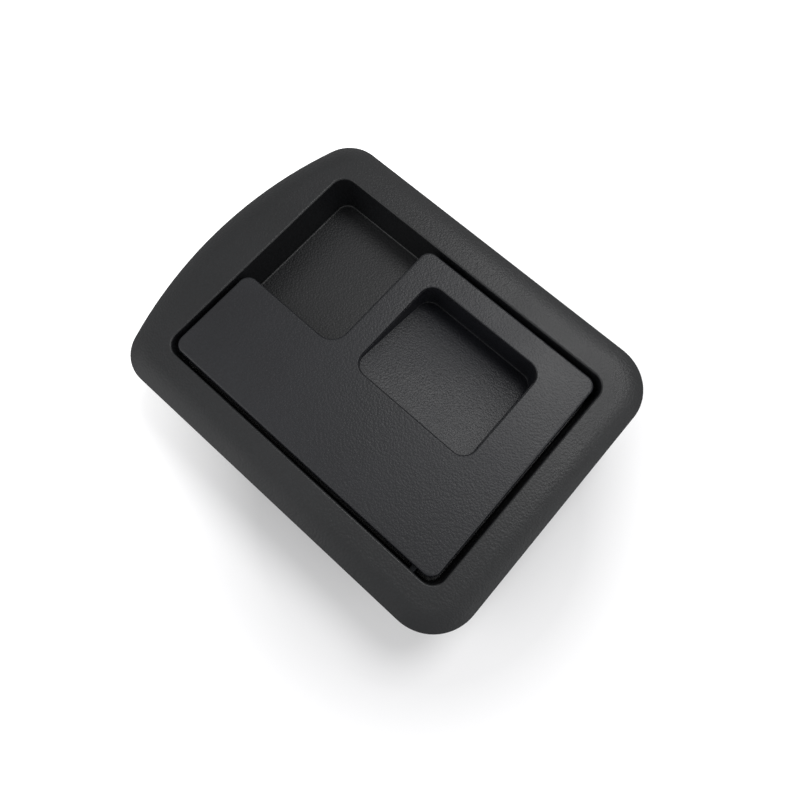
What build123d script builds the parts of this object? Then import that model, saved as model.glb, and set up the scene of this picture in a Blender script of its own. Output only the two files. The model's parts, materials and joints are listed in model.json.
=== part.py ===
from build123d import *
import os
from math import pi, radians, sin, sqrt

# Recessed pull handle for a cargo floor panel, in millimetres.
# A moulded bezel and tub drop into a cut-out in the panel. A flap closes the tub flush with the bezel.
# Fingers go in at the notch in the flap's front left corner and lift it. Near the hinge a crank on the flap
# draws a sprung latch bolt back beneath the tub floor.
# Frame: +Z is up out of the panel, +Y runs from the bowed front edge to the hinge, +X to the right seen
# from the front. The origin is the centre of the four mounting bosses, on the plane where the bezel rests
# on the panel.

# Bezel
bezel_side_band = 11.5  # from the mouth to the bezel's edge
bezel_back_band = 11.3
bezel_front_band = 15.5  # to the crown of the bow
bezel_bow_radius = 128.0
bezel_back_corner = 14.0
bezel_front_corner = 11.0
bezel_height = 3.0  # top face above the panel
bezel_rim_height = 1.9  # height of the outer rim, below the dome
bezel_dome_width = 6.5
bezel_dome_bands = 6
bezel_edge_round = 0.5
mouth_edge_round = 0.6

# Mouth and tub
mouth_half_width = 37.3
mouth_half_length = 50.7
mouth_corner = 4.4
tub_depth = 14.0  # finger room, from the bezel's top face to the floor
tub_draft = 1.5  # degrees
tub_floor_round = 0.5
wall = 2.0
floor_thickness = 2.0
skirt_margin = 1.0  # skirt's rim below the cover's screw heads

# Flap
side_gap = 1.45
front_gap = 1.25
hinge_gap = 1.85
flap_drop = 0.5  # flap face below the bezel's top face
flap_skin = 2.5
flap_rim_depth = 4.5
flap_rim_wall = 1.9
flap_corner = 3.4
flap_edge_round = 0.8
notch_width = 41.4
notch_length = 34.6
notch_corner = 5.5
pocket_margin = 7.8  # band between notch and pocket, and between pocket and side
pocket_width = 34.2
pocket_length = 42.0
pocket_floor_gap = 1.2  # under the pocket, to the tub floor
pocket_corner = 4.4
pocket_draft = 2.0
pocket_wall = 1.8
pocket_floor_round = 3.0
flap_rib = 1.5
flap_pad = 4.0  # square pad over each rubber stop

# Hinge
hinge_setback = 6.05  # axis in front of the flap's back edge
hinge_drop = 5.0  # axis below the flap's face
pin_radius = 1.25
pin_head_step = 0.95  # head's radius over the pin's
pin_head_length = 1.0
pin_clearance = 0.06
pin_seat = 0.02  # in the housing's side walls
pin_sink = 0.1  # both ends below the skirt's face
knuckle_wall = 1.75
knuckle_width = 6.0
knuckle_inset = 6.7  # centre of each knuckle from the flap's side
opening_angle = 50.0  # degrees, flap fully lifted

# Closing spring of the flap
coil_wire = 0.7
coil_clearance = 0.15  # over the pin
coil_turns = 5.75
coil_pitch = 0.8
coil_gap = 2.3  # from the crank to the coil, along the pin
coil_leg = 7.5  # along the flap
coil_foot = 5.2  # down towards the tub floor
leg_eye = 2.4
leg_clearance = 0.2
foot_rib_height = 4.5

# Crank and bolt
crank_place = 15.0
crank_width = 5.0
crank_under_gap = 0.2  # nose to the bolt's top face
crank_nose_radius = 1.6
crank_play = 0.5
crank_neck = 2.0
yoke_wall = 2.2
yoke_side = 0.6
yoke_rise = 5.0  # above the bolt's top face
bolt_width = 18.0
bolt_thickness = 5.6
bolt_reach = 7.6  # out of the tub's back wall when closed
bolt_tail = 23.0  # from the hinge axis forwards to the bolt's end
bolt_bevel = 4.2
bolt_clearance = 0.3
bolt_nose_round = 0.6

# Bolt spring
push_wire = 0.5
push_radius = 1.3
push_pitch = 1.8
push_bore_clearance = 0.35  # round the spring
push_bore_depth = 9.0
push_stop_gap = 9.0  # bolt's tail to the stop rib when closed
push_seat = 0.05

# Latch cover under the tub
cover_thickness = 1.7
cover_margin = 9.0  # beyond the bolt's sides
cover_corner = 3.0
cover_front_margin = 5.0  # in front of the spring's stop rib
cover_back_gap = 1.5  # behind, to the tub's back wall
cover_boss_wall = 1.67
cover_boss_inset = 3.6
guide_rib = 1.8

# Cover screws
screw_radius = 1.3
screw_hole_clearance = 0.3
screw_pilot_clearance = 0.03
screw_length = 6.0
screw_head_radius = 2.6
screw_head_height = 1.6
screw_recess_radius = 1.1
screw_recess_depth = 0.9
screw_tip_room = 0.7

# Mounting bosses under the bezel
boss_side_step = 4.7  # hole out from the skirt's side
boss_end_step = 7.7  # hole in from the skirt's end
boss_radius = 3.4
boss_depth = 8.0
boss_hole_radius = 1.5
boss_hole_above = 1.2  # hole runs on above the panel face
gusset = 1.6  # web from each boss to the skirt
gusset_shift = 1.0  # outwards, to leave the hinge pin's head room to be pushed in

# Flap stops
post_size = 5.0
stop_head_radius = 2.0
stop_head_height = 1.2
stop_stem_radius = 1.0
stop_stem_length = 3.0
stop_gap = 0.25  # under the closed flap
stop_inset = 1.6  # posts in from the flap's edges

# Ribs under the tub floor
floor_rib = 1.6
floor_rib_height = 6.0
floor_rib_left = 20.0  # left of the middle
floor_rib_front = 20.0  # in front of the middle
slot_clearance = 0.5

# Places worked out from the sizes above
bezel_half_width = mouth_half_width + bezel_side_band
bezel_back = mouth_half_length + bezel_back_band
bezel_front = mouth_half_length + bezel_front_band
floor_top = bezel_height - tub_depth
floor_under = floor_top - floor_thickness
flap_top = bezel_height - flap_drop
flap_half_width = mouth_half_width - side_gap
flap_front = -mouth_half_length + front_gap
flap_back = mouth_half_length - hinge_gap
pocket_depth = tub_depth - flap_drop - pocket_wall - pocket_floor_gap
hinge_y = flap_back - hinge_setback
hinge_z = flap_top - hinge_drop
skirt_half_width = mouth_half_width + wall
skirt_half_length = mouth_half_length + wall
boss_spread_x = skirt_half_width + boss_side_step
boss_spread_y = skirt_half_length - boss_end_step
pin_head_radius = pin_radius + pin_head_step
pin_left = -skirt_half_width + pin_sink
knuckle_radius = pin_radius + knuckle_wall
knuckle_place = flap_half_width - knuckle_inset
coil_radius = pin_radius + coil_clearance + coil_wire / 2
coil_place = crank_place + crank_width / 2 + coil_gap
push_bore_radius = push_radius + push_wire / 2 + push_bore_clearance
screw_hole_radius = screw_radius + screw_hole_clearance
screw_pilot_radius = screw_radius + screw_pilot_clearance
cover_boss_radius = screw_pilot_radius + cover_boss_wall
notch_right = -flap_half_width + notch_width
notch_back = flap_front + notch_length
pocket_x = -flap_half_width + pocket_margin + pocket_width / 2
pocket_y = notch_back + pocket_margin + pocket_length / 2
bolt_top = floor_under - bolt_clearance
bolt_under = bolt_top - bolt_thickness
bolt_tip = skirt_half_length + bolt_reach
bolt_end = hinge_y - bolt_tail
bolt_middle_z = (bolt_top + bolt_under) / 2
crank_length = hinge_z - bolt_top - crank_nose_radius - crank_under_gap  # axis to the middle of the nose
bolt_travel = crank_length * sin(radians(opening_angle))
cover_top = bolt_under - bolt_clearance
cover_under = cover_top - cover_thickness
base = cover_under - screw_head_height - skirt_margin
nose_z = hinge_z - crank_length
yoke_half = crank_nose_radius + crank_play + yoke_wall
stop_rib_y = bolt_end - push_stop_gap
cover_front = stop_rib_y - guide_rib - cover_front_margin
cover_back = skirt_half_length - wall - cover_back_gap
cover_half_width = bolt_width / 2 + cover_margin
stop_top = flap_top - flap_rim_depth - stop_gap
post_top = stop_top - stop_head_height
stop_places = (
    (flap_half_width - post_size / 2 - stop_inset, flap_front + post_size / 2 + stop_inset),
    (-flap_half_width + post_size / 2 + stop_inset, notch_back + post_size / 2 + stop_inset),
)
cover_screw_places = [
    (crank_place + side * (cover_half_width - cover_boss_inset), y)
    for side in (-1, 1)
    for y in (cover_front + cover_boss_inset, cover_back - cover_boss_inset)
]


def write(name, part):
    """Label a finished piece and write its STEP file."""
    part.label = name
    export_step(part, f"parts/{name}.step")


def block(x, y, z, mode=Mode.ADD):
    """A plain block between two places on each axis."""
    size = [high - low for low, high in (x, y, z)]
    with Locations((x[0], y[0], z[0])):
        Box(*size, align=(Align.MIN, Align.MIN, Align.MIN), mode=mode)


def rod_x(radius, x, y, z, mode=Mode.ADD):
    """A round rod along X between two places."""
    with Locations(((x[0] + x[1]) / 2, y, z)):
        Cylinder(radius, x[1] - x[0], rotation=(0, 90, 0), mode=mode)


def dome_point(share):
    """Inset and height on the bezel's domed edge, from the rim at 0 to the flat top at 1."""
    rise = bezel_height - bezel_rim_height
    radius = (bezel_dome_width**2 + rise**2) / (2 * rise)
    inset = bezel_dome_width * share
    height = bezel_height - radius + sqrt(radius**2 - (bezel_dome_width - inset) ** 2)
    return inset, height


os.makedirs("parts", exist_ok=True)

# Outline of the bezel: three straight sides and a bowed front
bow_centre = bezel_bow_radius - bezel_front
bow_side = bow_centre - sqrt(bezel_bow_radius**2 - bezel_half_width**2)
with BuildSketch() as bezel_outline:
    with BuildLine():
        Polyline(
            (-bezel_half_width, bow_side),
            (-bezel_half_width, bezel_back),
            (bezel_half_width, bezel_back),
            (bezel_half_width, bow_side),
        )
        ThreePointArc((-bezel_half_width, bow_side), (0, -bezel_front), (bezel_half_width, bow_side))
    make_face()
    fillet(bezel_outline.vertices().sort_by(Axis.Y)[:2], bezel_front_corner)
    fillet(bezel_outline.vertices().sort_by(Axis.Y)[-2:], bezel_back_corner)

# Housing: bezel, tub and skirt in one moulding
with BuildPart() as housing:
    with BuildSketch(Plane.XY.offset(bezel_rim_height)):
        add(bezel_outline)
    extrude(amount=bezel_rim_height, dir=(0, 0, -1))
    fillet(housing.edges().group_by(Axis.Z)[0], bezel_edge_round / 2)
    for band in range(bezel_dome_bands):
        low_inset, low_z = dome_point(band / bezel_dome_bands)
        high_inset, high_z = dome_point((band + 1) / bezel_dome_bands)
        with BuildSketch(Plane.XY.offset(low_z)):
            add(bezel_outline)
            if low_inset:
                offset(amount=-low_inset, mode=Mode.REPLACE)
        with BuildSketch(Plane.XY.offset(high_z)):
            add(bezel_outline)
            offset(amount=-high_inset, mode=Mode.REPLACE)
        loft(ruled=True)
    with BuildSketch(Plane.XY):
        RectangleRounded(2 * skirt_half_width, 2 * skirt_half_length, mouth_corner + wall)
    extrude(amount=base)
    with BuildSketch(Plane.XY.offset(bezel_height)):
        RectangleRounded(2 * mouth_half_width, 2 * mouth_half_length, mouth_corner)
    extrude(amount=-tub_depth, taper=tub_draft, mode=Mode.SUBTRACT)
    tub_floor = housing.faces().filter_by(Axis.Z).sort_by(lambda f: abs(f.center().Z - floor_top))[0]
    fillet(tub_floor.edges(), tub_floor_round)
    mouth = housing.edges().filter_by(lambda e: abs(e.center().Z - bezel_height) < 0.01)
    mouth = mouth.filter_by(lambda e: abs(e.center().X) < mouth_half_width + 1)
    mouth = mouth.filter_by(lambda e: abs(e.center().Y) < mouth_half_length + 1)
    fillet(mouth, mouth_edge_round)
    with BuildSketch(Plane.XY.offset(base)):
        RectangleRounded(2 * mouth_half_width, 2 * mouth_half_length, mouth_corner)
    extrude(amount=floor_under - base, mode=Mode.SUBTRACT)
    # posts for the two rubber stops
    for x, y in stop_places:
        span = (x - post_size / 2, x + post_size / 2)
        block(span, (y - post_size / 2, y + post_size / 2), (floor_top - wall / 2, post_top))
    # rib that the closing spring's foot leans on
    foot_x = coil_place + coil_turns * coil_pitch
    foot_y = hinge_y - coil_radius - coil_wire / 2 - leg_clearance
    foot_span = (foot_x - leg_eye / 2, foot_x + leg_eye / 2)
    foot_height = (floor_top - wall / 2, floor_top + foot_rib_height)
    block(foot_span, (foot_y - floor_rib, foot_y), foot_height)
    # ribs, bolt guides, stop rib and cover bosses under the floor
    rib_z = (floor_under - floor_rib_height, floor_under + floor_thickness / 2)
    inner_x = mouth_half_width + wall / 2
    inner_y = mouth_half_length + wall / 2
    left_rib = (-floor_rib_left, -floor_rib_left + floor_rib)
    front_rib = (-floor_rib_front, -floor_rib_front + floor_rib)
    block(left_rib, (-inner_y, inner_y), rib_z)
    block((-inner_x, inner_x), front_rib, rib_z)
    middle_rib = (crank_place - floor_rib / 2, crank_place + floor_rib / 2)
    block(middle_rib, (-inner_y, stop_rib_y), rib_z)
    guide_z = (cover_top, floor_under + floor_thickness / 2)
    guide_in = bolt_width / 2 + bolt_clearance
    guide_out = guide_in + guide_rib
    for side in (-1, 1):
        guide = sorted((crank_place + side * guide_in, crank_place + side * guide_out))
        block(guide, (stop_rib_y - guide_rib, inner_y), guide_z)
    stop_rib = (crank_place - guide_out, crank_place + guide_out)
    block(stop_rib, (stop_rib_y - guide_rib, stop_rib_y), guide_z)
    with Locations(*[(x, y, cover_top) for x, y in cover_screw_places]):
        Cylinder(cover_boss_radius, guide_z[1] - cover_top, align=(Align.CENTER, Align.CENTER, Align.MIN))
    # mounting bosses with webs to the skirt
    for side_x in (-1, 1):
        for side_y in (-1, 1):
            web = sorted((side_x * (skirt_half_width - wall / 2), side_x * boss_spread_x))
            web_y = side_y * (boss_spread_y + gusset_shift)
            across = (web_y - gusset / 2, web_y + gusset / 2)
            block(web, across, (-boss_depth + 1, bezel_rim_height / 2))
    with GridLocations(2 * boss_spread_x, 2 * boss_spread_y, 2, 2):
        with Locations((0, 0, -boss_depth)):
            Cylinder(boss_radius, boss_depth + 0.5, align=(Align.CENTER, Align.CENTER, Align.MIN))
    # holes: mounting, cover screws, hinge pin, crank slot, bolt window
    with GridLocations(2 * boss_spread_x, 2 * boss_spread_y, 2, 2):
        with Locations((0, 0, boss_hole_above)):
            Cylinder(
                boss_hole_radius,
                boss_depth + boss_hole_above,
                align=(Align.CENTER, Align.CENTER, Align.MAX),
                mode=Mode.SUBTRACT,
            )
    pilot_depth = screw_length - cover_thickness + screw_tip_room
    with Locations(*[(x, y, cover_top) for x, y in cover_screw_places]):
        Cylinder(
            screw_pilot_radius,
            pilot_depth,
            align=(Align.CENTER, Align.CENTER, Align.MIN),
            mode=Mode.SUBTRACT,
        )
    with Locations(*[(x, y, post_top) for x, y in stop_places]):
        Cylinder(
            stop_stem_radius + pin_seat,
            stop_stem_length + screw_tip_room,
            align=(Align.CENTER, Align.CENTER, Align.MAX),
            mode=Mode.SUBTRACT,
        )
    across = (-bezel_half_width, bezel_half_width)
    rod_x(pin_radius + pin_seat, across, hinge_y, hinge_z, mode=Mode.SUBTRACT)
    head_pocket = (-skirt_half_width - 1, pin_left + pin_head_length)
    rod_x(pin_head_radius + pin_seat, head_pocket, hinge_y, hinge_z, mode=Mode.SUBTRACT)
    slot_half = crank_width / 2 + yoke_side + slot_clearance
    slot_x = (crank_place - slot_half, crank_place + slot_half)
    slot_y = (hinge_y - yoke_half - bolt_travel - slot_clearance, hinge_y + yoke_half + slot_clearance)
    block(slot_x, slot_y, (floor_under - 0.1, floor_top + 0.1), mode=Mode.SUBTRACT)
    window_x = (crank_place - guide_in, crank_place + guide_in)
    window_y = (mouth_half_length - 0.5, skirt_half_length + 1)
    block(window_x, window_y, (cover_top, floor_under), mode=Mode.SUBTRACT)
write("housing", housing.part)

# Flap: a skin with a rim round its edge, a finger notch and a key pocket
with BuildSketch() as flap_outline:
    with BuildLine():
        Polyline(
            (notch_right, flap_front),
            (flap_half_width, flap_front),
            (flap_half_width, flap_back),
            (-flap_half_width, flap_back),
            (-flap_half_width, notch_back),
            (notch_right, notch_back),
            close=True,
        )
    make_face()
    notch_vertex = flap_outline.vertices().sort_by_distance((notch_right, notch_back))[:1]
    fillet(notch_vertex, notch_corner)
    outer = flap_outline.vertices().filter_by(
        lambda v: min(abs(abs(v.X) - flap_half_width), abs(v.Y - flap_front)) < 0.01
    )
    fillet(outer, flap_corner)

with BuildPart() as flap:
    with BuildSketch(Plane.XY.offset(flap_top)):
        add(flap_outline)
    extrude(amount=flap_rim_depth, dir=(0, 0, -1))
    fillet(flap.edges().group_by(Axis.Z)[-1], flap_edge_round)
    with BuildSketch(Plane.XY.offset(flap_top - flap_rim_depth)):
        add(flap_outline)
        offset(amount=-flap_rim_wall, mode=Mode.REPLACE)
    extrude(amount=flap_rim_depth - flap_skin, dir=(0, 0, 1), mode=Mode.SUBTRACT)
    # ribs across the underside, and pads over the rubber stops
    rib_z = (flap_top - flap_rim_depth, flap_top - flap_skin / 2)
    rib_x = (notch_right + flap_half_width) / 2
    block((rib_x, rib_x + flap_rib), (flap_front + 1, hinge_y - coil_leg - leg_eye), rib_z)
    for share in (0.33, 0.66):
        rib_y = flap_front + notch_length * share
        block((notch_right + 1, flap_half_width - 1), (rib_y, rib_y + flap_rib), rib_z)
    for rib_y in (pocket_y - pocket_length / 4, pocket_y + pocket_length / 4):
        block((-flap_half_width + 1, flap_half_width - 1), (rib_y, rib_y + flap_rib), rib_z)
    for x, y in stop_places:
        pad_x = (x - flap_pad / 2, x + flap_pad / 2)
        block(pad_x, (y - flap_pad / 2, y + flap_pad / 2), rib_z)
    # pocket
    with BuildSketch(Plane.XY.offset(flap_top - flap_skin / 2)):
        with Locations((pocket_x, pocket_y)):
            RectangleRounded(
                pocket_width + 2 * pocket_wall, pocket_length + 2 * pocket_wall, pocket_corner + pocket_wall
            )
    extrude(amount=-(pocket_depth + pocket_wall - flap_skin / 2), taper=pocket_draft)
    with BuildSketch(Plane.XY.offset(flap_top)):
        with Locations((pocket_x, pocket_y)):
            RectangleRounded(pocket_width, pocket_length, pocket_corner)
    extrude(amount=-pocket_depth, taper=pocket_draft, mode=Mode.SUBTRACT)
    pocket_floor = flap.faces().filter_by(Axis.Z)
    pocket_floor = pocket_floor.sort_by(lambda f: abs(f.center().Z - flap_top + pocket_depth))[0]
    fillet(pocket_floor.edges(), pocket_floor_round)
    pocket_mouth = flap.edges().filter_by(lambda e: abs(e.center().Z - flap_top) < 0.01)
    pocket_mouth = pocket_mouth.filter_by(lambda e: abs(e.center().X - pocket_x) < pocket_width / 2 + 0.1)
    pocket_mouth = pocket_mouth.filter_by(lambda e: abs(e.center().Y - pocket_y) < pocket_length / 2 + 0.1)
    fillet(pocket_mouth, flap_edge_round / 2)
    # knuckles, crank and the eye for the closing spring
    knuckles = [(side * knuckle_place, knuckle_width) for side in (-1, 1)] + [(crank_place, crank_width)]
    for x, width in knuckles:
        span = (x - width / 2, x + width / 2)
        rod_x(knuckle_radius, span, hinge_y, hinge_z)
        block(span, (hinge_y - knuckle_radius, hinge_y + knuckle_radius), (hinge_z, flap_top - 1))
    crank_span = (crank_place - crank_width / 2, crank_place + crank_width / 2)
    neck_y = (hinge_y - crank_neck / 2, hinge_y + crank_neck / 2)
    block(crank_span, neck_y, (nose_z, hinge_z))
    rod_x(crank_nose_radius, crank_span, hinge_y, nose_z)
    leg_z = hinge_z - coil_radius
    leg_drift = (coil_leg - leg_eye / 2) * coil_pitch / (2 * pi * coil_radius)
    eye_place = coil_place - leg_drift
    eye_x = (eye_place - leg_eye / 2, eye_place + leg_eye / 2)
    eye_y = (hinge_y - coil_leg, hinge_y - coil_leg + leg_eye)
    block(eye_x, eye_y, (leg_z - leg_eye / 2, flap_top - flap_skin / 2))
    with Locations((eye_place, hinge_y - coil_leg, leg_z)):
        eye_radius = coil_wire / 2 + leg_clearance
        Cylinder(eye_radius, 3 * leg_eye, rotation=(90, 0, 0), mode=Mode.SUBTRACT)
    across = (-bezel_half_width, bezel_half_width)
    rod_x(pin_radius + pin_clearance, across, hinge_y, hinge_z, mode=Mode.SUBTRACT)
write("flap", flap.part)

# Hinge pin: a headed steel pin through both side walls, its head let into the left one
with BuildPart() as hinge_pin:
    rod_x(pin_radius, (pin_left, -pin_left), hinge_y, hinge_z)
    fillet(hinge_pin.edges().sort_by(Axis.X)[-1], pin_radius / 3)
    rod_x(pin_head_radius, (pin_left, pin_left + pin_head_length), hinge_y, hinge_z)
    fillet(hinge_pin.edges().sort_by(Axis.X)[0], pin_head_length / 2)
write("hinge_pin", hinge_pin.part)


def coil(wire, radius, pitch, turns, start, start_angle, direction):
    """A round-wire helix and its centre line, made outside any builder."""
    line = Helix(pitch, pitch * turns, radius)
    with BuildPart() as turns_part:
        with BuildSketch(Plane(origin=line @ 0, z_dir=line % 0)):
            Circle(wire / 2)
        sweep(path=line, is_frenet=True)
    place = Location(Plane(origin=start, x_dir=(0, 0, 1), z_dir=direction)) * Rot(0, 0, start_angle)
    return place * turns_part.part, place * line


# Closing spring: coils round the pin, one leg in the flap's eye, one foot against the tub's rib
spring_start = (coil_place, hinge_y, hinge_z)
spring_body, spring_line = coil(coil_wire, coil_radius, coil_pitch, coil_turns, spring_start, 180, (1, 0, 0))
with BuildPart() as flap_spring:
    add(spring_body)
    ends = (
        (spring_line @ 0, spring_line % 0 * -1, coil_leg),
        (spring_line @ 1, spring_line % 1, coil_foot),
    )
    for point, heading, length in ends:
        with BuildSketch(Plane(origin=point, z_dir=heading)):
            Circle(coil_wire / 2)
        extrude(amount=length)
        with Locations(point):
            Sphere(coil_wire / 2)
write("flap_spring", flap_spring.part)

# Latch bolt: slides under the tub floor, its yoke takes the crank's nose
with BuildPart() as latch_bolt:
    bolt_x = (crank_place - bolt_width / 2, crank_place + bolt_width / 2)
    block(bolt_x, (bolt_end, bolt_tip), (bolt_under, bolt_top))
    nose_edges = latch_bolt.edges().filter_by(Axis.X).sort_by(lambda e: e.center().Z - e.center().Y)
    chamfer(nose_edges[0], bolt_bevel)
    tip_face = latch_bolt.faces().sort_by(Axis.Y)[-1]
    fillet(tip_face.edges(), bolt_nose_round)
    yoke_x = (crank_place - crank_width / 2 - yoke_side, crank_place + crank_width / 2 + yoke_side)
    yoke_z = (bolt_top - bolt_thickness / 2, bolt_top + yoke_rise)
    block(yoke_x, (hinge_y - yoke_half, hinge_y + yoke_half), yoke_z)
    groove = crank_nose_radius + crank_play
    groove_z = (bolt_top, bolt_top + yoke_rise + 1)
    block(yoke_x, (hinge_y - groove, hinge_y + groove), groove_z, mode=Mode.SUBTRACT)
    with Locations((crank_place, bolt_end, bolt_middle_z)):
        Cylinder(push_bore_radius, 2 * push_bore_depth, rotation=(90, 0, 0), mode=Mode.SUBTRACT)
write("latch_bolt", latch_bolt.part)

# Bolt spring: from the stop rib to the end of the bolt's bore
push_room = push_stop_gap + push_bore_depth - push_wire - 2 * push_seat
push_turns = push_room / push_pitch
push_start = (crank_place, stop_rib_y + push_wire / 2 + push_seat, bolt_middle_z)
push_body, push_line = coil(push_wire, push_radius, push_pitch, push_turns, push_start, 0, (0, 1, 0))
with BuildPart() as bolt_spring:
    add(push_body)
write("bolt_spring", bolt_spring.part)

# Cover plate under the latch
with BuildPart() as latch_cover:
    with BuildSketch(Plane.XY.offset(cover_top)):
        with Locations((crank_place, (cover_front + cover_back) / 2)):
            RectangleRounded(2 * cover_half_width, cover_back - cover_front, cover_corner)
        with Locations(*cover_screw_places):
            Circle(screw_hole_radius, mode=Mode.SUBTRACT)
    extrude(amount=-cover_thickness)
write("latch_cover", latch_cover.part)

# Four cover screws, each with a cross recess
for number, (x, y) in enumerate(cover_screw_places, 1):
    with BuildPart() as screw:
        with Locations((x, y, cover_under)):
            Cylinder(screw_radius, screw_length, align=(Align.CENTER, Align.CENTER, Align.MIN))
            Cylinder(screw_head_radius, screw_head_height, align=(Align.CENTER, Align.CENTER, Align.MAX))
        fillet(screw.edges().group_by(Axis.Z)[0], screw_head_height / 2)
        chamfer(screw.edges().group_by(Axis.Z)[-1], screw_radius / 2)
        with BuildSketch(Plane.XY.offset(cover_under - screw_head_height)):
            with Locations((x, y)):
                Rectangle(2 * screw_recess_radius, screw_recess_radius / 2)
                Rectangle(screw_recess_radius / 2, 2 * screw_recess_radius)
        extrude(amount=screw_recess_depth, mode=Mode.SUBTRACT)
    write(f"cover_screw_{number}", screw.part)

# Rubber stops pressed into the posts
for name, (x, y) in zip(("front_stop", "side_stop"), stop_places):
    with BuildPart() as stop:
        with Locations((x, y, post_top)):
            Cylinder(stop_head_radius, stop_head_height, align=(Align.CENTER, Align.CENTER, Align.MIN))
        fillet(stop.edges().group_by(Axis.Z)[-1], stop_head_height / 3)
        with Locations((x, y, post_top)):
            Cylinder(stop_stem_radius, stop_stem_length, align=(Align.CENTER, Align.CENTER, Align.MAX))
    write(name, stop.part)
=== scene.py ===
import math
import json
import bpy
import bmesh
from mathutils import Matrix, Vector


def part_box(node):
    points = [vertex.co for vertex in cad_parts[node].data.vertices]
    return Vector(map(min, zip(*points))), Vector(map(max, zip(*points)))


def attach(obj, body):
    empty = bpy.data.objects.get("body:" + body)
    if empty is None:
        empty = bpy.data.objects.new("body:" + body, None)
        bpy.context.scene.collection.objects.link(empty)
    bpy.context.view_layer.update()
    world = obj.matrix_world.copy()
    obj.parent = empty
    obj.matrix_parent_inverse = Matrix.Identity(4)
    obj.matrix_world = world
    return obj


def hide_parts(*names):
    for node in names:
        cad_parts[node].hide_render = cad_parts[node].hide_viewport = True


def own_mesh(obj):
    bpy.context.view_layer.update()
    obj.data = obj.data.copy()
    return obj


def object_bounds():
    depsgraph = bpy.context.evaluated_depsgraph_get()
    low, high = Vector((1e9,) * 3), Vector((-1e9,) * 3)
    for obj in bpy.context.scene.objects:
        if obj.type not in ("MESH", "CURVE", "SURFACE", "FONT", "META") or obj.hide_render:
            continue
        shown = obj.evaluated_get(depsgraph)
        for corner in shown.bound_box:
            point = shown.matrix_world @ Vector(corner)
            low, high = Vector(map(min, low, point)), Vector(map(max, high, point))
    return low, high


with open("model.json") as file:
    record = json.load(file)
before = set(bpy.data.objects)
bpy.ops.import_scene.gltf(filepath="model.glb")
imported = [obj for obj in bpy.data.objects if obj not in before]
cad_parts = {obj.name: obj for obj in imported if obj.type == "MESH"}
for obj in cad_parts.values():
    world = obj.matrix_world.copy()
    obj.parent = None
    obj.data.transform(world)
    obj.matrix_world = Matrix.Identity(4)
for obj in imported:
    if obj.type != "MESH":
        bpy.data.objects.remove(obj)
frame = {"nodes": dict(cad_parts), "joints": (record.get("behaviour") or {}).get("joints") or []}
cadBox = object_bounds()
mm = 0.001
weldGap = 0.0005 * mm  # corners nearer than this are one corner
print("frame loaded:", len(frame["nodes"]), "nodes")


def hexColour(code):
    # sRGB hex to the linear colour that the shader wants
    parts = [int(code[i:i + 2], 16) / 255 for i in (0, 2, 4)]
    return [c / 12.92 if c <= 0.04045 else ((c + 0.055) / 1.055) ** 2.4 for c in parts] + [1.0]


def addNode(tree, kind, settings=None, links=None):
    # settings: attribute or input name to value; links: input name to an output socket
    node = tree.nodes.new(kind)
    for name, value in (settings or {}).items():
        if isinstance(name, str) and hasattr(node, name):
            setattr(node, name, value)
        else:
            node.inputs[name].default_value = value
    for name, socket in (links or {}).items():
        tree.links.new(socket, node.inputs[name])
    return node


def newMaterial(name):
    material = bpy.data.materials.new(name)
    material.use_nodes = True
    tree = material.node_tree
    tree.nodes.clear()
    output = addNode(tree, "ShaderNodeOutputMaterial")
    shader = addNode(tree, "ShaderNodeBsdfPrincipled")
    tree.links.new(shader.outputs["BSDF"], output.inputs["Surface"])
    return material, tree, shader


def joinSkin(tree, shader, colour, dull, bump):
    tree.links.new(colour.outputs[2], shader.inputs["Base Color"])
    tree.links.new(dull.outputs[0], shader.inputs["Roughness"])
    tree.links.new(bump.outputs["Normal"], shader.inputs["Normal"])


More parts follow.
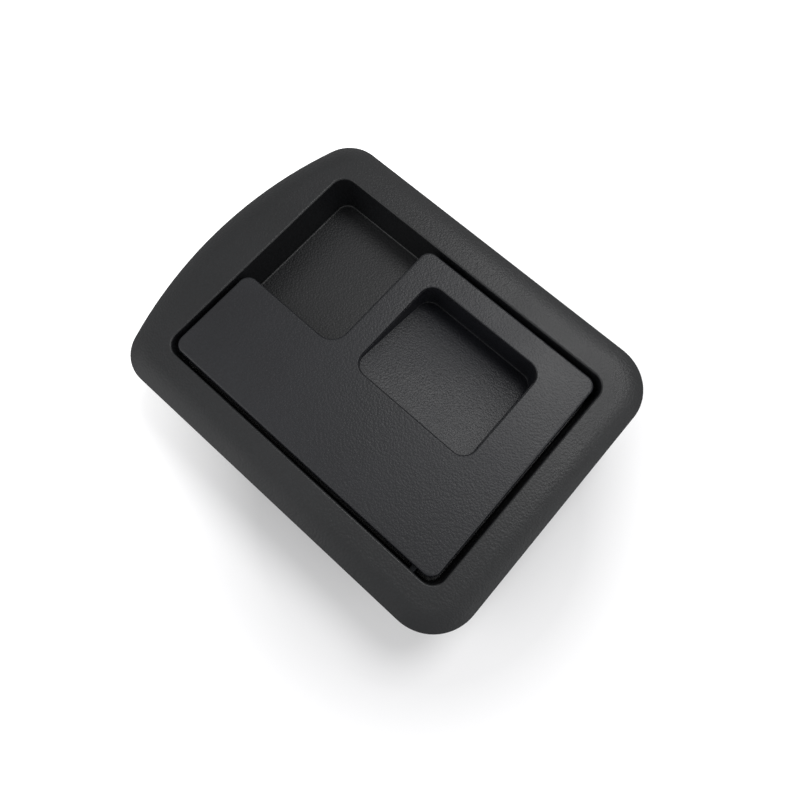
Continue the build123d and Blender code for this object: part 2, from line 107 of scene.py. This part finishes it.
def grainedPlastic(name, look):
    # Injection-moulded ABS from a spark-eroded tool: a pebble grain of rounded cells with a dull skin,
    # so highlights break up into fine speckle; the valleys are painted darker and the tops lighter, as painted
    # shade.
    material, tree, shader = newMaterial(name)
    place = addNode(tree, "ShaderNodeTexCoord").outputs["Object"]
    cells = addNode(tree, "ShaderNodeTexVoronoi", {
        "feature": "SMOOTH_F1", "Scale": 1 / (look["pebbleWidth"] * mm),
        "Smoothness": look["pebbleBlend"], "Randomness": look["pebbleScatter"],
    }, {"Vector": place})
    fine = addNode(tree, "ShaderNodeTexNoise", {
        "Scale": 1 / (look["fineWidth"] * mm), "Detail": look["fineDetail"], "Roughness": look["fineBreak"],
    }, {"Vector": place})
    pebble = addNode(tree, "ShaderNodeMix", {"data_type": "FLOAT", 0: look["fineShare"]}, {
        2: cells.outputs["Distance"], 3: fine.outputs["Fac"],
    })
    bump = addNode(tree, "ShaderNodeBump", {
        "Strength": look["grainStrength"], "Distance": look["grainDepth"] * mm, "invert": True,
    }, {"Height": pebble.outputs[0]})
    # slow drift in the skin, from how the melt cooled
    drift = addNode(tree, "ShaderNodeTexNoise", {
        "Scale": 1 / (look["driftWidth"] * mm), "Detail": look["driftDetail"],
    }, {"Vector": place})
    tone = addNode(tree, "ShaderNodeMapRange", {
        "From Min": look["driftLow"], "From Max": look["driftHigh"],
        "To Min": look["toneLow"], "To Max": look["toneHigh"],
    }, {"Value": drift.outputs["Fac"]})
    # painted shade: the colour darkens from the tops of the pebble cells into their valleys, and the tops are
    # painted lighter
    paintedValleyShade = addNode(tree, "ShaderNodeMapRange", {
        "From Min": look["topAt"], "From Max": look["valleyAt"],
        "To Min": look["topShade"], "To Max": look["valleyShade"],
    }, {"Value": pebble.outputs[0]})
    shade = addNode(tree, "ShaderNodeMath", {"operation": "MULTIPLY"}, {
        0: tone.outputs[0], 1: paintedValleyShade.outputs[0],
    })
    colour = addNode(tree, "ShaderNodeMix", {
        "data_type": "RGBA", 6: (0, 0, 0, 1), 7: hexColour(look["colour"]), "clamp_factor": False,
    }, {0: shade.outputs[0]})
    dull = addNode(tree, "ShaderNodeMapRange", {
        "From Min": look["driftLow"], "From Max": look["driftHigh"],
        "To Min": look["roughLow"], "To Max": look["roughHigh"],
    }, {"Value": drift.outputs["Fac"]})
    joinSkin(tree, shader, colour, dull, bump)
    shader.inputs["IOR"].default_value = look["ior"]
    return material


def smoothPlastic(name, look):
    # Plain moulded skin off a machined tool: faint flow ripples and an even, ungrained shine.
    material, tree, shader = newMaterial(name)
    place = addNode(tree, "ShaderNodeTexCoord").outputs["Object"]
    ripple = addNode(tree, "ShaderNodeTexNoise", {
        "Scale": 1 / (look["rippleWidth"] * mm), "Detail": look["rippleDetail"], "Roughness": look["rippleBreak"],
    }, {"Vector": place})
    bump = addNode(tree, "ShaderNodeBump", {
        "Strength": look["rippleStrength"], "Distance": look["rippleDepth"] * mm,
    }, {"Height": ripple.outputs["Fac"]})
    colour = addNode(tree, "ShaderNodeMix", {
        "data_type": "RGBA", 6: hexColour(look["colour"]), 7: hexColour(look["paleColour"]),
    }, {0: ripple.outputs["Fac"]})
    dull = addNode(tree, "ShaderNodeMapRange", {
        "To Min": look["roughLow"], "To Max": look["roughHigh"],
    }, {"Value": ripple.outputs["Fac"]})
    joinSkin(tree, shader, colour, dull, bump)
    shader.inputs["IOR"].default_value = look["ior"]
    return material


def bareSteel(name, look):
    # Steel with a soft grey shine: a drawn rod has fine lines along its length,
    # wire and plating have a fine mottle that runs no way in particular.
    material, tree, shader = newMaterial(name)
    place = addNode(tree, "ShaderNodeTexCoord").outputs["Object"]
    stretched = addNode(tree, "ShaderNodeMapping", {"Scale": look["stretch"]}, {"Vector": place})
    lines = addNode(tree, "ShaderNodeTexNoise", {
        "Scale": 1 / (look["lineWidth"] * mm), "Detail": look["lineDetail"],
    }, {"Vector": stretched.outputs[0]})
    colour = addNode(tree, "ShaderNodeMix", {
        "data_type": "RGBA", 6: hexColour(look["colour"]), 7: hexColour(look["paleColour"]),
    }, {0: lines.outputs["Fac"]})
    dull = addNode(tree, "ShaderNodeMapRange", {
        "To Min": look["roughLow"], "To Max": look["roughHigh"],
    }, {"Value": lines.outputs["Fac"]})
    bump = addNode(tree, "ShaderNodeBump", {
        "Strength": look["lineStrength"], "Distance": look["lineDepth"] * mm,
    }, {"Height": lines.outputs["Fac"]})
    joinSkin(tree, shader, colour, dull, bump)
    shader.inputs["Metallic"].default_value = 1.0
    return material


def blackRubber(name, look):
    # Moulded EPDM: no shine, a slight bloom on the skin.
    material, tree, shader = newMaterial(name)
    place = addNode(tree, "ShaderNodeTexCoord").outputs["Object"]
    bloom = addNode(tree, "ShaderNodeTexNoise", {
        "Scale": 1 / (look["bloomWidth"] * mm), "Detail": look["bloomDetail"],
    }, {"Vector": place})
    colour = addNode(tree, "ShaderNodeMix", {
        "data_type": "RGBA", 6: hexColour(look["colour"]), 7: hexColour(look["paleColour"]),
    }, {0: bloom.outputs["Fac"]})
    tree.links.new(colour.outputs[2], shader.inputs["Base Color"])
    shader.inputs["Roughness"].default_value = look["rough"]
    return material


# widths and depths in millimetres
absGrain = {
    "colour": "111214", "ior": 1.35, "roughLow": 0.38, "roughHigh": 0.45,
    "pebbleWidth": 0.6, "pebbleBlend": 0.35, "pebbleScatter": 1.0,
    "fineWidth": 0.2, "fineDetail": 3.0, "fineBreak": 0.6, "fineShare": 0.35,
    "grainStrength": 1.0, "grainDepth": 0.075,
    "driftWidth": 26.0, "driftDetail": 2.0, "driftLow": 0.3, "driftHigh": 0.7,
    "toneLow": 0.88, "toneHigh": 1.12,
    # where the grain's painted shade starts and ends, and how light the tops and how dark the valleys are painted
    "topAt": 0.15, "valleyAt": 0.75, "topShade": 1.12, "valleyShade": 0.72,
}
flapGrain = {**absGrain, "colour": "111216", "roughLow": 0.37, "roughHigh": 0.44}
flowRipple = {"rippleDetail": 4.0, "rippleBreak": 0.55, "rippleStrength": 0.35}
nylonSkin = {
    **flowRipple, "colour": "1c1d1f", "paleColour": "26272a",
    "rippleWidth": 2.5, "rippleDepth": 0.02, "roughLow": 0.32, "roughHigh": 0.44, "ior": 1.52,
}
coverSkin = {
    **flowRipple, "colour": "1f2022", "paleColour": "2b2c2e",
    "rippleWidth": 5.0, "rippleDepth": 0.03, "roughLow": 0.42, "roughHigh": 0.56, "ior": 1.49,
}
steelLines = {"stretch": (1.0, 1.0, 1.0), "lineDetail": 3.0, "lineStrength": 0.3, "lineDepth": 0.01}
springSkin = {
    **steelLines, "colour": "8f9296", "paleColour": "b4b6b8",
    "lineWidth": 0.12, "roughLow": 0.22, "roughHigh": 0.36,
}
# painted shade: the pin's drawn steel is given a near-black colour to match the shade in the gap round it
pinSkin = {
    **steelLines, "colour": "17181a", "paleColour": "242527",
    "stretch": (0.05, 1.0, 1.0), "lineWidth": 0.1, "roughLow": 0.3, "roughHigh": 0.45,
}
zincSkin = {
    **steelLines, "colour": "9fa4a8", "paleColour": "c9ccca",
    "lineWidth": 0.6, "roughLow": 0.26, "roughHigh": 0.42,
}
rubberSkin = {"colour": "17181a", "paleColour": "2a2b2c", "bloomWidth": 1.2, "bloomDetail": 4.0, "rough": 0.85}

blackAbs = grainedPlastic("blackPebbleGrainAbs", absGrain)
flapAbs = grainedPlastic("flapPebbleGrainAbs", flapGrain)
blackNylon = smoothPlastic("mouldedBlackNylon", nylonSkin)
coverPp = smoothPlastic("mouldedBlackPolypropylene", coverSkin)
springSteel = bareSteel("drawnSpringSteel", springSkin)
# drawn pin steel painted near black as shade
pinSteel = bareSteel("pinSteelPaintedShade", pinSkin)
zincSteel = bareSteel("zincPlatedSteel", zincSkin)
stopRubber = blackRubber("mouldedEpdmRubber", rubberSkin)
print("materials made:", len(bpy.data.materials))


def outlinePoints(s, inset):
    # rounded rectangle of the pocket, drawn in or out by an inset
    radius = s["corner"] - inset
    halfX, halfY = s["width"] / 2 - s["corner"], s["length"] / 2 - s["corner"]
    points = []
    for quarter, (sideX, sideY) in enumerate(((1, 1), (-1, 1), (-1, -1), (1, -1))):
        for i in range(s["steps"] + 1):
            turn = math.radians(90) * (quarter + i / s["steps"])
            points.append((sideX * halfX + radius * math.cos(turn), sideY * halfY + radius * math.sin(turn)))
        if quarter in (0, 2):
            for i in range(1, s["across"]):
                points.append((sideX * halfX * (1 - 2 * i / s["across"]), points[-1][1]))
    return points


def ringSolid(name, rings, centre):
    # closed solid from rings of points that are alike front and back, capped with strips from front to back
    work = bmesh.new()
    loops = [[work.verts.new((Vector(point) + centre) * mm) for point in ring] for ring in rings]
    count = len(rings[0])
    for lower, upper in zip(loops, loops[1:]):
        for i in range(count):
            work.faces.new((lower[i], lower[(i + 1) % count], upper[(i + 1) % count], upper[i]))
    for loop in (loops[0], loops[-1]):
        for i in range(count // 2 - 1):
            work.faces.new((loop[i], loop[i + 1], loop[count - 2 - i], loop[count - 1 - i]))
    bmesh.ops.recalc_face_normals(work, faces=work.faces)
    bmesh.ops.triangulate(work, faces=work.faces)
    mesh = bpy.data.meshes.new(name)
    work.to_mesh(mesh)
    work.free()
    solid = bpy.data.objects.new(name, mesh)
    bpy.context.scene.collection.objects.link(solid)
    return solid


def combine(piece, tool, operation):
    step = piece.modifiers.new("shape", "BOOLEAN")
    step.operation = operation
    step.solver = "EXACT"
    step.object = tool
    bpy.context.view_layer.update()
    shaped = bpy.data.meshes.new_from_object(piece.evaluated_get(bpy.context.evaluated_depsgraph_get()))
    piece.modifiers.clear()
    piece.data = shaped
    bpy.data.objects.remove(tool)


# the pocket's floor is a ramp: shallow on the right, deep under the left wall, which the finger pulls on
pocketScoop = {
    "margin": 7.8, "notchLength": 34.6,  # rim beside the pocket, and the notch in front of it
    "width": 34.2, "length": 42.0, "corner": 4.4, "draft": 2.0,
    "shallow": 1.4, "gentle": 7.4, "deep": 10.3, "curl": 5.0,  # depth at the right, slope, depth at the left
    "footRound": 0.3, "footShare": 0.7, "footSteps": 4,
    "topDepth": 0.9, "skin": 0.06, "hold": 0.4, "bottom": 10.9,  # the ramp's own block, let into the walls
    "clearFrom": 4.0, "clearTo": 10.4, "clearSkin": 0.03,
    "steps": 10, "across": 24,
}


def scoopPocket(piece):
    s = pocketScoop
    low, high = (Vector(corner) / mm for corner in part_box("flap"))
    centre = Vector((
        low.x + s["margin"] + s["width"] / 2,
        low.y + s["notchLength"] + s["margin"] + s["length"] / 2,
        high.z,
    ))
    lean = math.tan(math.radians(s["draft"]))

    def ring(inset, depth):
        return [(x, y, -depth) for x, y in outlinePoints(s, inset)]

    def rampDepth(x):
        share = 0.5 - x / s["width"]
        return s["shallow"] + s["gentle"] * share + (s["deep"] - s["shallow"] - s["gentle"]) * share ** s["curl"]

    # clear the foot of the wall, then set the ramp in
    cleared = [ring(s["clearSkin"] + depth * lean, depth) for depth in (s["clearFrom"], s["clearTo"])]
    combine(piece, ringSolid("pocketClear", cleared, centre), "DIFFERENCE")
    rings = [
        ring(-s["hold"], s["bottom"]),
        ring(-s["hold"], s["topDepth"]),
        ring(s["skin"] + s["topDepth"] * lean, s["topDepth"]),
    ]
    base = outlinePoints(s, 0.0)
    for k in range(s["footSteps"] + 1):
        turn = math.radians(90) * k / s["footSteps"]
        foot = []
        for i, (x, y) in enumerate(base):
            depth = rampDepth(x)
            radius = min(s["footRound"], s["footShare"] * (depth - s["topDepth"]))
            inset = s["skin"] + depth * lean + radius * (1 - math.cos(turn))
            px, py = outlinePoints(s, inset)[i]
            foot.append((px, py, -rampDepth(px) + radius * (1 - math.sin(turn))))
        rings.append(foot)
    combine(piece, ringSolid("pocketRamp", rings, centre), "UNION")


def weld(work):
    bmesh.ops.remove_doubles(work, verts=work.verts, dist=weldGap)
    bmesh.ops.dissolve_degenerate(work, edges=work.edges, dist=weldGap)


def keepShape(nodeName, pieceName, material, body, corner, reshape=None):
    # a merged copy of the solid, with soft shading over its rounds and crisp flats
    piece = bpy.data.objects.new(pieceName, frame["nodes"][nodeName].data.copy())
    piece.data.name = pieceName
    bpy.context.scene.collection.objects.link(piece)
    work = bmesh.new()
    work.from_mesh(piece.data)
    weld(work)
    bmesh.ops.recalc_face_normals(work, faces=work.faces)
    if reshape:
        work.to_mesh(piece.data)
        reshape(piece)
        work.clear()
        work.from_mesh(piece.data)
        weld(work)
    for face in work.faces:
        face.smooth = True
        face.material_index = 0
    for edge in work.edges:
        edge.smooth = len(edge.link_faces) == 2 and edge.calc_face_angle(0) < math.radians(corner)
    work.to_mesh(piece.data)
    work.free()
    piece.data.materials.clear()
    piece.data.materials.append(material)
    weights = piece.modifiers.new("flatFaces", "WEIGHTED_NORMAL")
    weights.keep_sharp = True
    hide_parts(nodeName)
    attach(piece, body)
    return piece


# solid: piece, material, body, degrees past which an edge is crisp, and what reshapes it
shells = {
    "housing": ("bezelAndTub", blackAbs, "frame", 28),
    "flap": ("liftFlap", flapAbs, "flap", 28, scoopPocket),
    "latch_bolt": ("latchBolt", blackNylon, "bolt", 28),
    "latch_cover": ("latchCover", coverPp, "frame", 28),
    "hinge_pin": ("hingePin", pinSteel, "frame", 35),
    "front_stop": ("frontStop", stopRubber, "frame", 35),
    "side_stop": ("sideStop", stopRubber, "frame", 35),
}
made = {node: keepShape(node, *settings) for node, settings in shells.items()}
print("moulded pieces:", ", ".join(piece.name for piece in made.values()))


def geometryTree(name, inputs):
    tree = bpy.data.node_groups.new(name, "GeometryNodeTree")
    tree.interface.new_socket("Geometry", in_out="INPUT", socket_type="NodeSocketGeometry")
    tree.interface.new_socket("Geometry", in_out="OUTPUT", socket_type="NodeSocketGeometry")
    for label, kind in inputs.items():
        tree.interface.new_socket(label, in_out="INPUT", socket_type=kind)
    return tree, addNode(tree, "NodeGroupInput"), addNode(tree, "NodeGroupOutput")


def finishTree(tree, output, geometry, material):
    real = addNode(tree, "GeometryNodeRealizeInstances", None, {"Geometry": geometry})
    coat = addNode(tree, "GeometryNodeSetMaterial", {"Material": material}, {"Geometry": real.outputs[0]})
    tree.links.new(coat.outputs[0], output.inputs[0])


def runTree(source, tree, values, pieceName):
    # sets the sizes by socket identifier, then freezes the result as a plain mesh
    modifier = source.modifiers.new(pieceName, "NODES")
    modifier.node_group = tree
    sockets = {item.name: item.identifier for item in tree.interface.items_tree if item.in_out == "INPUT"}
    for label, value in values.items():
        modifier[sockets[label]] = value
    view = bpy.context.evaluated_depsgraph_get()
    mesh = bpy.data.meshes.new_from_object(source.evaluated_get(view), depsgraph=view)
    mesh.name = pieceName
    piece = bpy.data.objects.new(pieceName, mesh)
    bpy.context.scene.collection.objects.link(piece)
    bpy.data.objects.remove(source)
    return piece


def curveSource(name, points):
    curve = bpy.data.curves.new(name, "CURVE")
    curve.dimensions = "3D"
    line = curve.splines.new("POLY")
    line.points.add(len(points) - 1)
    for spot, place in zip(line.points, points):
        spot.co = (*place, 1.0)
    source = bpy.data.objects.new(name, curve)
    bpy.context.scene.collection.objects.link(source)
    return source


def smoothMesh(piece, corner):
    for face in piece.data.polygons:
        face.use_smooth = True
    piece.data.set_sharp_from_angle(angle=math.radians(corner))


def dropSlivers(piece):
    # the cross cut leaves flat triangles of no area
    work = bmesh.new()
    work.from_mesh(piece.data)
    bmesh.ops.triangulate(work, faces=work.faces)
    bmesh.ops.dissolve_degenerate(work, edges=work.edges, dist=weldGap)
    work.to_mesh(piece.data)
    work.free()


# wire swept along its own centre line
wireTree, given, result = geometryTree("wireAlongPath", {"wireRadius": "NodeSocketFloat", "sides": "NodeSocketInt"})
ring = addNode(wireTree, "GeometryNodeCurvePrimitiveCircle", None, {
    "Resolution": given.outputs["sides"], "Radius": given.outputs["wireRadius"],
})
swept = addNode(wireTree, "GeometryNodeCurveToMesh", {"Fill Caps": True}, {
    "Curve": given.outputs["Geometry"], "Profile Curve": ring.outputs["Curve"],
})
finishTree(wireTree, result, swept.outputs["Mesh"], springSteel)

hingeY, hingeZ = frame["joints"][0]["pos_m"][1], frame["joints"][0]["pos_m"][2]
flapSpring = {
    "wire": 0.7, "coilRadius": 1.75, "pitch": 0.8, "turns": 5.75, "left": 19.8,
    "leg": 7.5, "foot": 5.2, "legSteps": 6, "steps": 40, "sides": 14, "crisp": 40,
}


def flapSpringPath(s):
    # leg under the flap, coils round the pin, foot down to the tub's rib
    points = []
    slope = s["pitch"] / (2 * math.pi * s["coilRadius"])
    for i in range(s["legSteps"]):
        along = s["leg"] * (1 - i / s["legSteps"])
        points.append(Vector((s["left"] - slope * along, -along, -s["coilRadius"])))
    count = round(s["turns"] * s["steps"])
    for i in range(count + 1):
        angle = 2 * math.pi * i / s["steps"]
        points.append(Vector((
            s["left"] + s["pitch"] * i / s["steps"],
            s["coilRadius"] * math.sin(angle),
            -s["coilRadius"] * math.cos(angle),
        )))
    for i in range(1, s["legSteps"] + 1):
        along = s["foot"] * i / s["legSteps"]
        points.append(points[count + s["legSteps"]] + Vector((slope * along, 0, -along)))
    return [p * mm + Vector((0, hingeY, hingeZ)) for p in points]


torsion = runTree(curveSource("flapSpringLine", flapSpringPath(flapSpring)), wireTree, {
    "wireRadius": flapSpring["wire"] / 2 * mm, "sides": flapSpring["sides"],
}, "flapSpringWire")
smoothMesh(torsion, flapSpring["crisp"])
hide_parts("flap_spring")
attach(torsion, "frame")

boltSpring = {
    "wire": 0.5, "pitch": 1.8, "closedPitch": 0.55, "closedTurns": 1.25, "steps": 32, "sides": 12, "crisp": 40,
}
low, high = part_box("bolt_spring")


def boltSpringPath(s):
    # open coils between two closed ends
    radius = (high.x - low.x) / 2 / mm - s["wire"] / 2
    length = (high.y - low.y) / mm - s["wire"]
    openLength = length - 2 * s["closedTurns"] * s["closedPitch"]
    openTurns = openLength / s["pitch"]
    total = openTurns + 2 * s["closedTurns"]
    count = round(total * s["steps"])
    points = []
    for i in range(count + 1):
        turn = total * i / count
        closed = min(turn, s["closedTurns"]) + max(0, turn - openTurns - s["closedTurns"])
        y = closed * s["closedPitch"] + (turn - closed) * s["pitch"]
        angle = 2 * math.pi * turn
        points.append(Vector((radius * math.cos(angle), y + s["wire"] / 2, radius * math.sin(angle))))
    middle = Vector(((low.x + high.x) / 2, low.y, (low.z + high.z) / 2))
    return [p * mm + middle for p in points]


push = runTree(curveSource("boltSpringLine", boltSpringPath(boltSpring)), wireTree, {
    "wireRadius": boltSpring["wire"] / 2 * mm, "sides": boltSpring["sides"],
}, "boltSpringWire")
smoothMesh(push, boltSpring["crisp"])
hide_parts("bolt_spring")
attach(push, "frame")
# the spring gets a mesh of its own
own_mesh(push)
print("springs swept:", len(torsion.data.polygons) + len(push.data.polygons), "faces")

# one pan-head screw, set at each hole of the cover
coverScrew = {
    "headRadius": 2.6, "headHeight": 1.6, "crownRound": 0.8, "crownSteps": 8,
    "shankRadius": 1.3, "coreRadius": 1.02, "length": 6.0, "tip": 0.7, "around": 40, "weld": 0.001,
    "threadPitch": 0.9, "threadFrom": 0.35, "threadStop": 1.0,
    "crestFrom": 0.35, "crestTo": 0.5, "rootFrom": 0.85,  # shares of one pitch
    "recess": 1.15, "slot": 0.42, "recessDepth": 0.9, "recessTaper": 0.8, "cutAbove": 0.5,
    "spin": 1.5, "seed": 4, "crisp": 32,
}


def screwMesh(s):
    # turned profile from the head's crown to the tip
    crown = [(0.0, -s["headHeight"])]
    for i in range(1, s["crownSteps"] + 1):
        turn = math.radians(90) * i / s["crownSteps"]
        crown.append((
            s["headRadius"] - s["crownRound"] + s["crownRound"] * math.sin(turn),
            -s["headHeight"] + s["crownRound"] * (1 - math.cos(turn)),
        ))
    crown += [(s["headRadius"], 0.0), (s["coreRadius"], 0.0)]
    z = s["threadFrom"]
    while z < s["length"] - s["threadStop"]:  # thread as close rings of the same pitch
        crown += [
            (s["coreRadius"], z),
            (s["shankRadius"], z + s["threadPitch"] * s["crestFrom"]),
            (s["shankRadius"], z + s["threadPitch"] * s["crestTo"]),
            (s["coreRadius"], z + s["threadPitch"] * s["rootFrom"]),
        ]
        z += s["threadPitch"]
    crown += [(s["coreRadius"], s["length"] - s["tip"]), (0.0, s["length"])]
    work = bmesh.new()
    spots = [work.verts.new((r * mm, 0, h * mm)) for r, h in crown]
    edges = [work.edges.new(pair) for pair in zip(spots, spots[1:])]
    bmesh.ops.spin(
        work, geom=spots + edges, cent=(0, 0, 0), axis=(0, 0, 1),
        angle=math.tau, steps=s["around"], use_duplicate=False,
    )
    bmesh.ops.remove_doubles(work, verts=work.verts, dist=s["weld"] * mm)
    bmesh.ops.recalc_face_normals(work, faces=work.faces)
    mesh = bpy.data.meshes.new("panHead")
    work.to_mesh(mesh)
    work.free()
    return mesh


def crossCutter(s):
    # tapered cross, narrower at its floor
    work = bmesh.new()
    for turn in (0, 90):
        box = bmesh.ops.create_cube(work, size=1.0)["verts"]
        for v in box:
            deep = s["recessTaper"] if v.co.z > 0 else 1.0
            above, floorAt = -s["headHeight"] - s["cutAbove"], -s["headHeight"] + s["recessDepth"]
            v.co = Vector((
                v.co.x * 2 * s["recess"] * deep * mm,
                v.co.y * 2 * s["slot"] * deep * mm,
                (above if v.co.z < 0 else floorAt) * mm,
            ))
        bmesh.ops.rotate(work, verts=box, cent=(0, 0, 0), matrix=Matrix.Rotation(math.radians(turn), 3, "Z"))
    bmesh.ops.recalc_face_normals(work, faces=work.faces)
    mesh = bpy.data.meshes.new("crossCutter")
    work.to_mesh(mesh)
    work.free()
    return mesh


screwSource = bpy.data.objects.new("panHeadSource", screwMesh(coverScrew))
cutter = bpy.data.objects.new("crossCutter", crossCutter(coverScrew))
for thing in (screwSource, cutter):
    bpy.context.scene.collection.objects.link(thing)

screwTree, given, result = geometryTree("screwAtEachHole", {
    "screw": "NodeSocketObject", "cutter": "NodeSocketObject", "spin": "NodeSocketFloat", "seed": "NodeSocketInt",
})
blank = addNode(screwTree, "GeometryNodeObjectInfo", None, {"Object": given.outputs["screw"]})
tool = addNode(screwTree, "GeometryNodeObjectInfo", None, {"Object": given.outputs["cutter"]})
cut = addNode(screwTree, "GeometryNodeMeshBoolean", {
    "operation": "DIFFERENCE", "solver": "EXACT", "Self Intersection": True,
}, {"Mesh 1": blank.outputs["Geometry"], "Mesh 2": tool.outputs["Geometry"]})
turned = addNode(screwTree, "FunctionNodeRandomValue", {"data_type": "FLOAT"}, {
    "Seed": given.outputs["seed"], 3: given.outputs["spin"],
})
angle = addNode(screwTree, "ShaderNodeCombineXYZ", None, {"Z": turned.outputs[1]})
placed = addNode(screwTree, "GeometryNodeInstanceOnPoints", None, {
    "Points": given.outputs["Geometry"], "Instance": cut.outputs["Mesh"], "Rotation": angle.outputs[0],
})
finishTree(screwTree, result, placed.outputs["Instances"], zincSteel)

holes = bpy.data.meshes.new("screwHoles")
screwNodes = [name for name in frame["nodes"] if name.startswith("cover_screw_")]
seats = []
for name in screwNodes:
    screwLow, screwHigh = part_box(name)
    seats.append((
        (screwLow.x + screwHigh.x) / 2,
        (screwLow.y + screwHigh.y) / 2,
        screwLow.z + coverScrew["headHeight"] * mm,
    ))
holes.from_pydata(seats, [], [])
holeSource = bpy.data.objects.new("screwHoles", holes)
bpy.context.scene.collection.objects.link(holeSource)
screws = runTree(holeSource, screwTree, {
    "screw": screwSource, "cutter": cutter, "spin": coverScrew["spin"], "seed": coverScrew["seed"],
}, "coverScrews")
for thing in (screwSource, cutter):
    bpy.data.objects.remove(thing)
dropSlivers(screws)
smoothMesh(screws, coverScrew["crisp"])
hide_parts(*screwNodes)
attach(screws, "frame")
print("cover screws:", len(screwNodes), "with", len(screws.data.polygons), "faces")

shot = {
    "from": (37.38, 37.93, 167.73), "at": (4.50, 9.72, 2.80), "roll": 0.96,
    "lens": 27.5, "sensor": 36, "shiftY": -0.0025, "clipNear": 0.005, "clipFar": 20,
}
cameraData = bpy.data.cameras.new("camera")
cameraData.lens = shot["lens"]
cameraData.sensor_width = shot["sensor"]
cameraData.clip_start, cameraData.clip_end = shot["clipNear"], shot["clipFar"]
cameraData.shift_y = shot["shiftY"]
camera = bpy.data.objects.new("camera", cameraData)
bpy.context.scene.collection.objects.link(camera)
camera.location = Vector(shot["from"]) * mm
towards = (Vector(shot["at"]) - Vector(shot["from"])).to_track_quat("-Z", "Y").to_matrix()
camera.rotation_euler = (towards @ Matrix.Rotation(math.radians(shot["roll"]), 3, "Z")).to_euler()
bpy.context.scene.camera = camera

# places and sizes in millimetres; the fade and the floor's size in metres
studio = {
    "floorColour": "d9d9da", "floorRough": 0.9, "floorSheen": 0.1, "floorSize": 16.0,
    # painted shade: the floor's glow stays at floorLift round shadeAt and fades up to white between fadeFrom and
    # fadeTo
    "floorLift": 0.14, "shadeAt": (22, 34, 0), "fadeFrom": 0.055, "fadeTo": 0.15,
    "world": "ffffff", "worldStrength": 0.4, "aimAt": (0, 0, 0),
    "keyFrom": (-420, 20, 805), "keySize": 400, "keyPower": 4.0,
    "fillFrom": (430, -330, 520), "fillSize": 600, "fillPower": 1.9,
    "backFrom": (-80, 620, 430), "backSize": 500, "backPower": 1.4,
}


def seenNotLit(tree):
    # 1 where the camera, a gloss or clear glass looks, 0 where light falls on the handle
    path = addNode(tree, "ShaderNodeLightPath")
    seen = addNode(tree, "ShaderNodeMath", {"operation": "MAXIMUM"}, {
        0: path.outputs["Is Camera Ray"], 1: path.outputs["Is Glossy Ray"],
    })
    seenAny = addNode(tree, "ShaderNodeMath", {"operation": "MAXIMUM"}, {
        0: seen.outputs[0], 1: path.outputs["Is Transmission Ray"],
    })
    return seenAny.outputs[0]


floorMaterial, tree, shader = newMaterial("paleStudioSweep")
shader.inputs["Base Color"].default_value = hexColour(studio["floorColour"])
shader.inputs["Roughness"].default_value = studio["floorRough"]
shader.inputs["Specular IOR Level"].default_value = studio["floorSheen"]
# the floor's glow is lowest round shadeAt, a painted shade round the handle, and runs out to white well away from it
shade = addNode(tree, "ShaderNodeVectorMath", {"operation": "SUBTRACT", 1: Vector(studio["shadeAt"]) * mm}, {
    0: addNode(tree, "ShaderNodeTexCoord").outputs["Object"],
})
away = addNode(tree, "ShaderNodeVectorMath", {"operation": "LENGTH"}, {0: shade.outputs["Vector"]})
fade = addNode(tree, "ShaderNodeMapRange", {
    "From Min": studio["fadeFrom"], "From Max": studio["fadeTo"], "To Min": studio["floorLift"], "To Max": 1.0,
}, {"Value": away.outputs["Value"]})
lift = addNode(tree, "ShaderNodeMath", {"operation": "MULTIPLY"}, {0: seenNotLit(tree), 1: fade.outputs[0]})
shader.inputs["Emission Color"].default_value = (1, 1, 1, 1)
tree.links.new(lift.outputs[0], shader.inputs["Emission Strength"])

half = studio["floorSize"] / 2
floorZ = cadBox[0].z
floorCorners = [(-half, -half, floorZ), (half, -half, floorZ), (half, half, floorZ), (-half, half, floorZ)]
floorMesh = bpy.data.meshes.new("studioFloor")
floorMesh.from_pydata(floorCorners, [], [(0, 1, 2, 3)])
floorMesh.materials.append(floorMaterial)
floor = bpy.data.objects.new("studioFloor", floorMesh)
bpy.context.scene.collection.objects.link(floor)

world = bpy.data.worlds.new("studioAir")
bpy.context.scene.world = world
world.use_nodes = True
air = world.node_tree
air.nodes.clear()
strength = addNode(air, "ShaderNodeMix", {"data_type": "FLOAT", 2: studio["worldStrength"], 3: 1.0}, {
    0: seenNotLit(air),
})
glow = addNode(air, "ShaderNodeBackground", {"Color": hexColour(studio["world"])}, {"Strength": strength.outputs[0]})
addNode(air, "ShaderNodeOutputWorld", None, {"Surface": glow.outputs[0]})


def softLight(side):
    lamp = bpy.data.lights.new(side + "Light", "AREA")
    lamp.shape = "DISK"
    lamp.size = studio[side + "Size"] * mm
    lamp.energy = studio[side + "Power"]
    light = bpy.data.objects.new(side + "Light", lamp)
    bpy.context.scene.collection.objects.link(light)
    place = Vector(studio[side + "From"])
    light.location = place * mm
    light.rotation_euler = (Vector(studio["aimAt"]) - place).to_track_quat("-Z", "Y").to_euler()


for side in ("key", "fill", "back"):
    softLight(side)
bpy.context.scene.view_settings.view_transform = "Standard"
print("camera, floor and lights set")
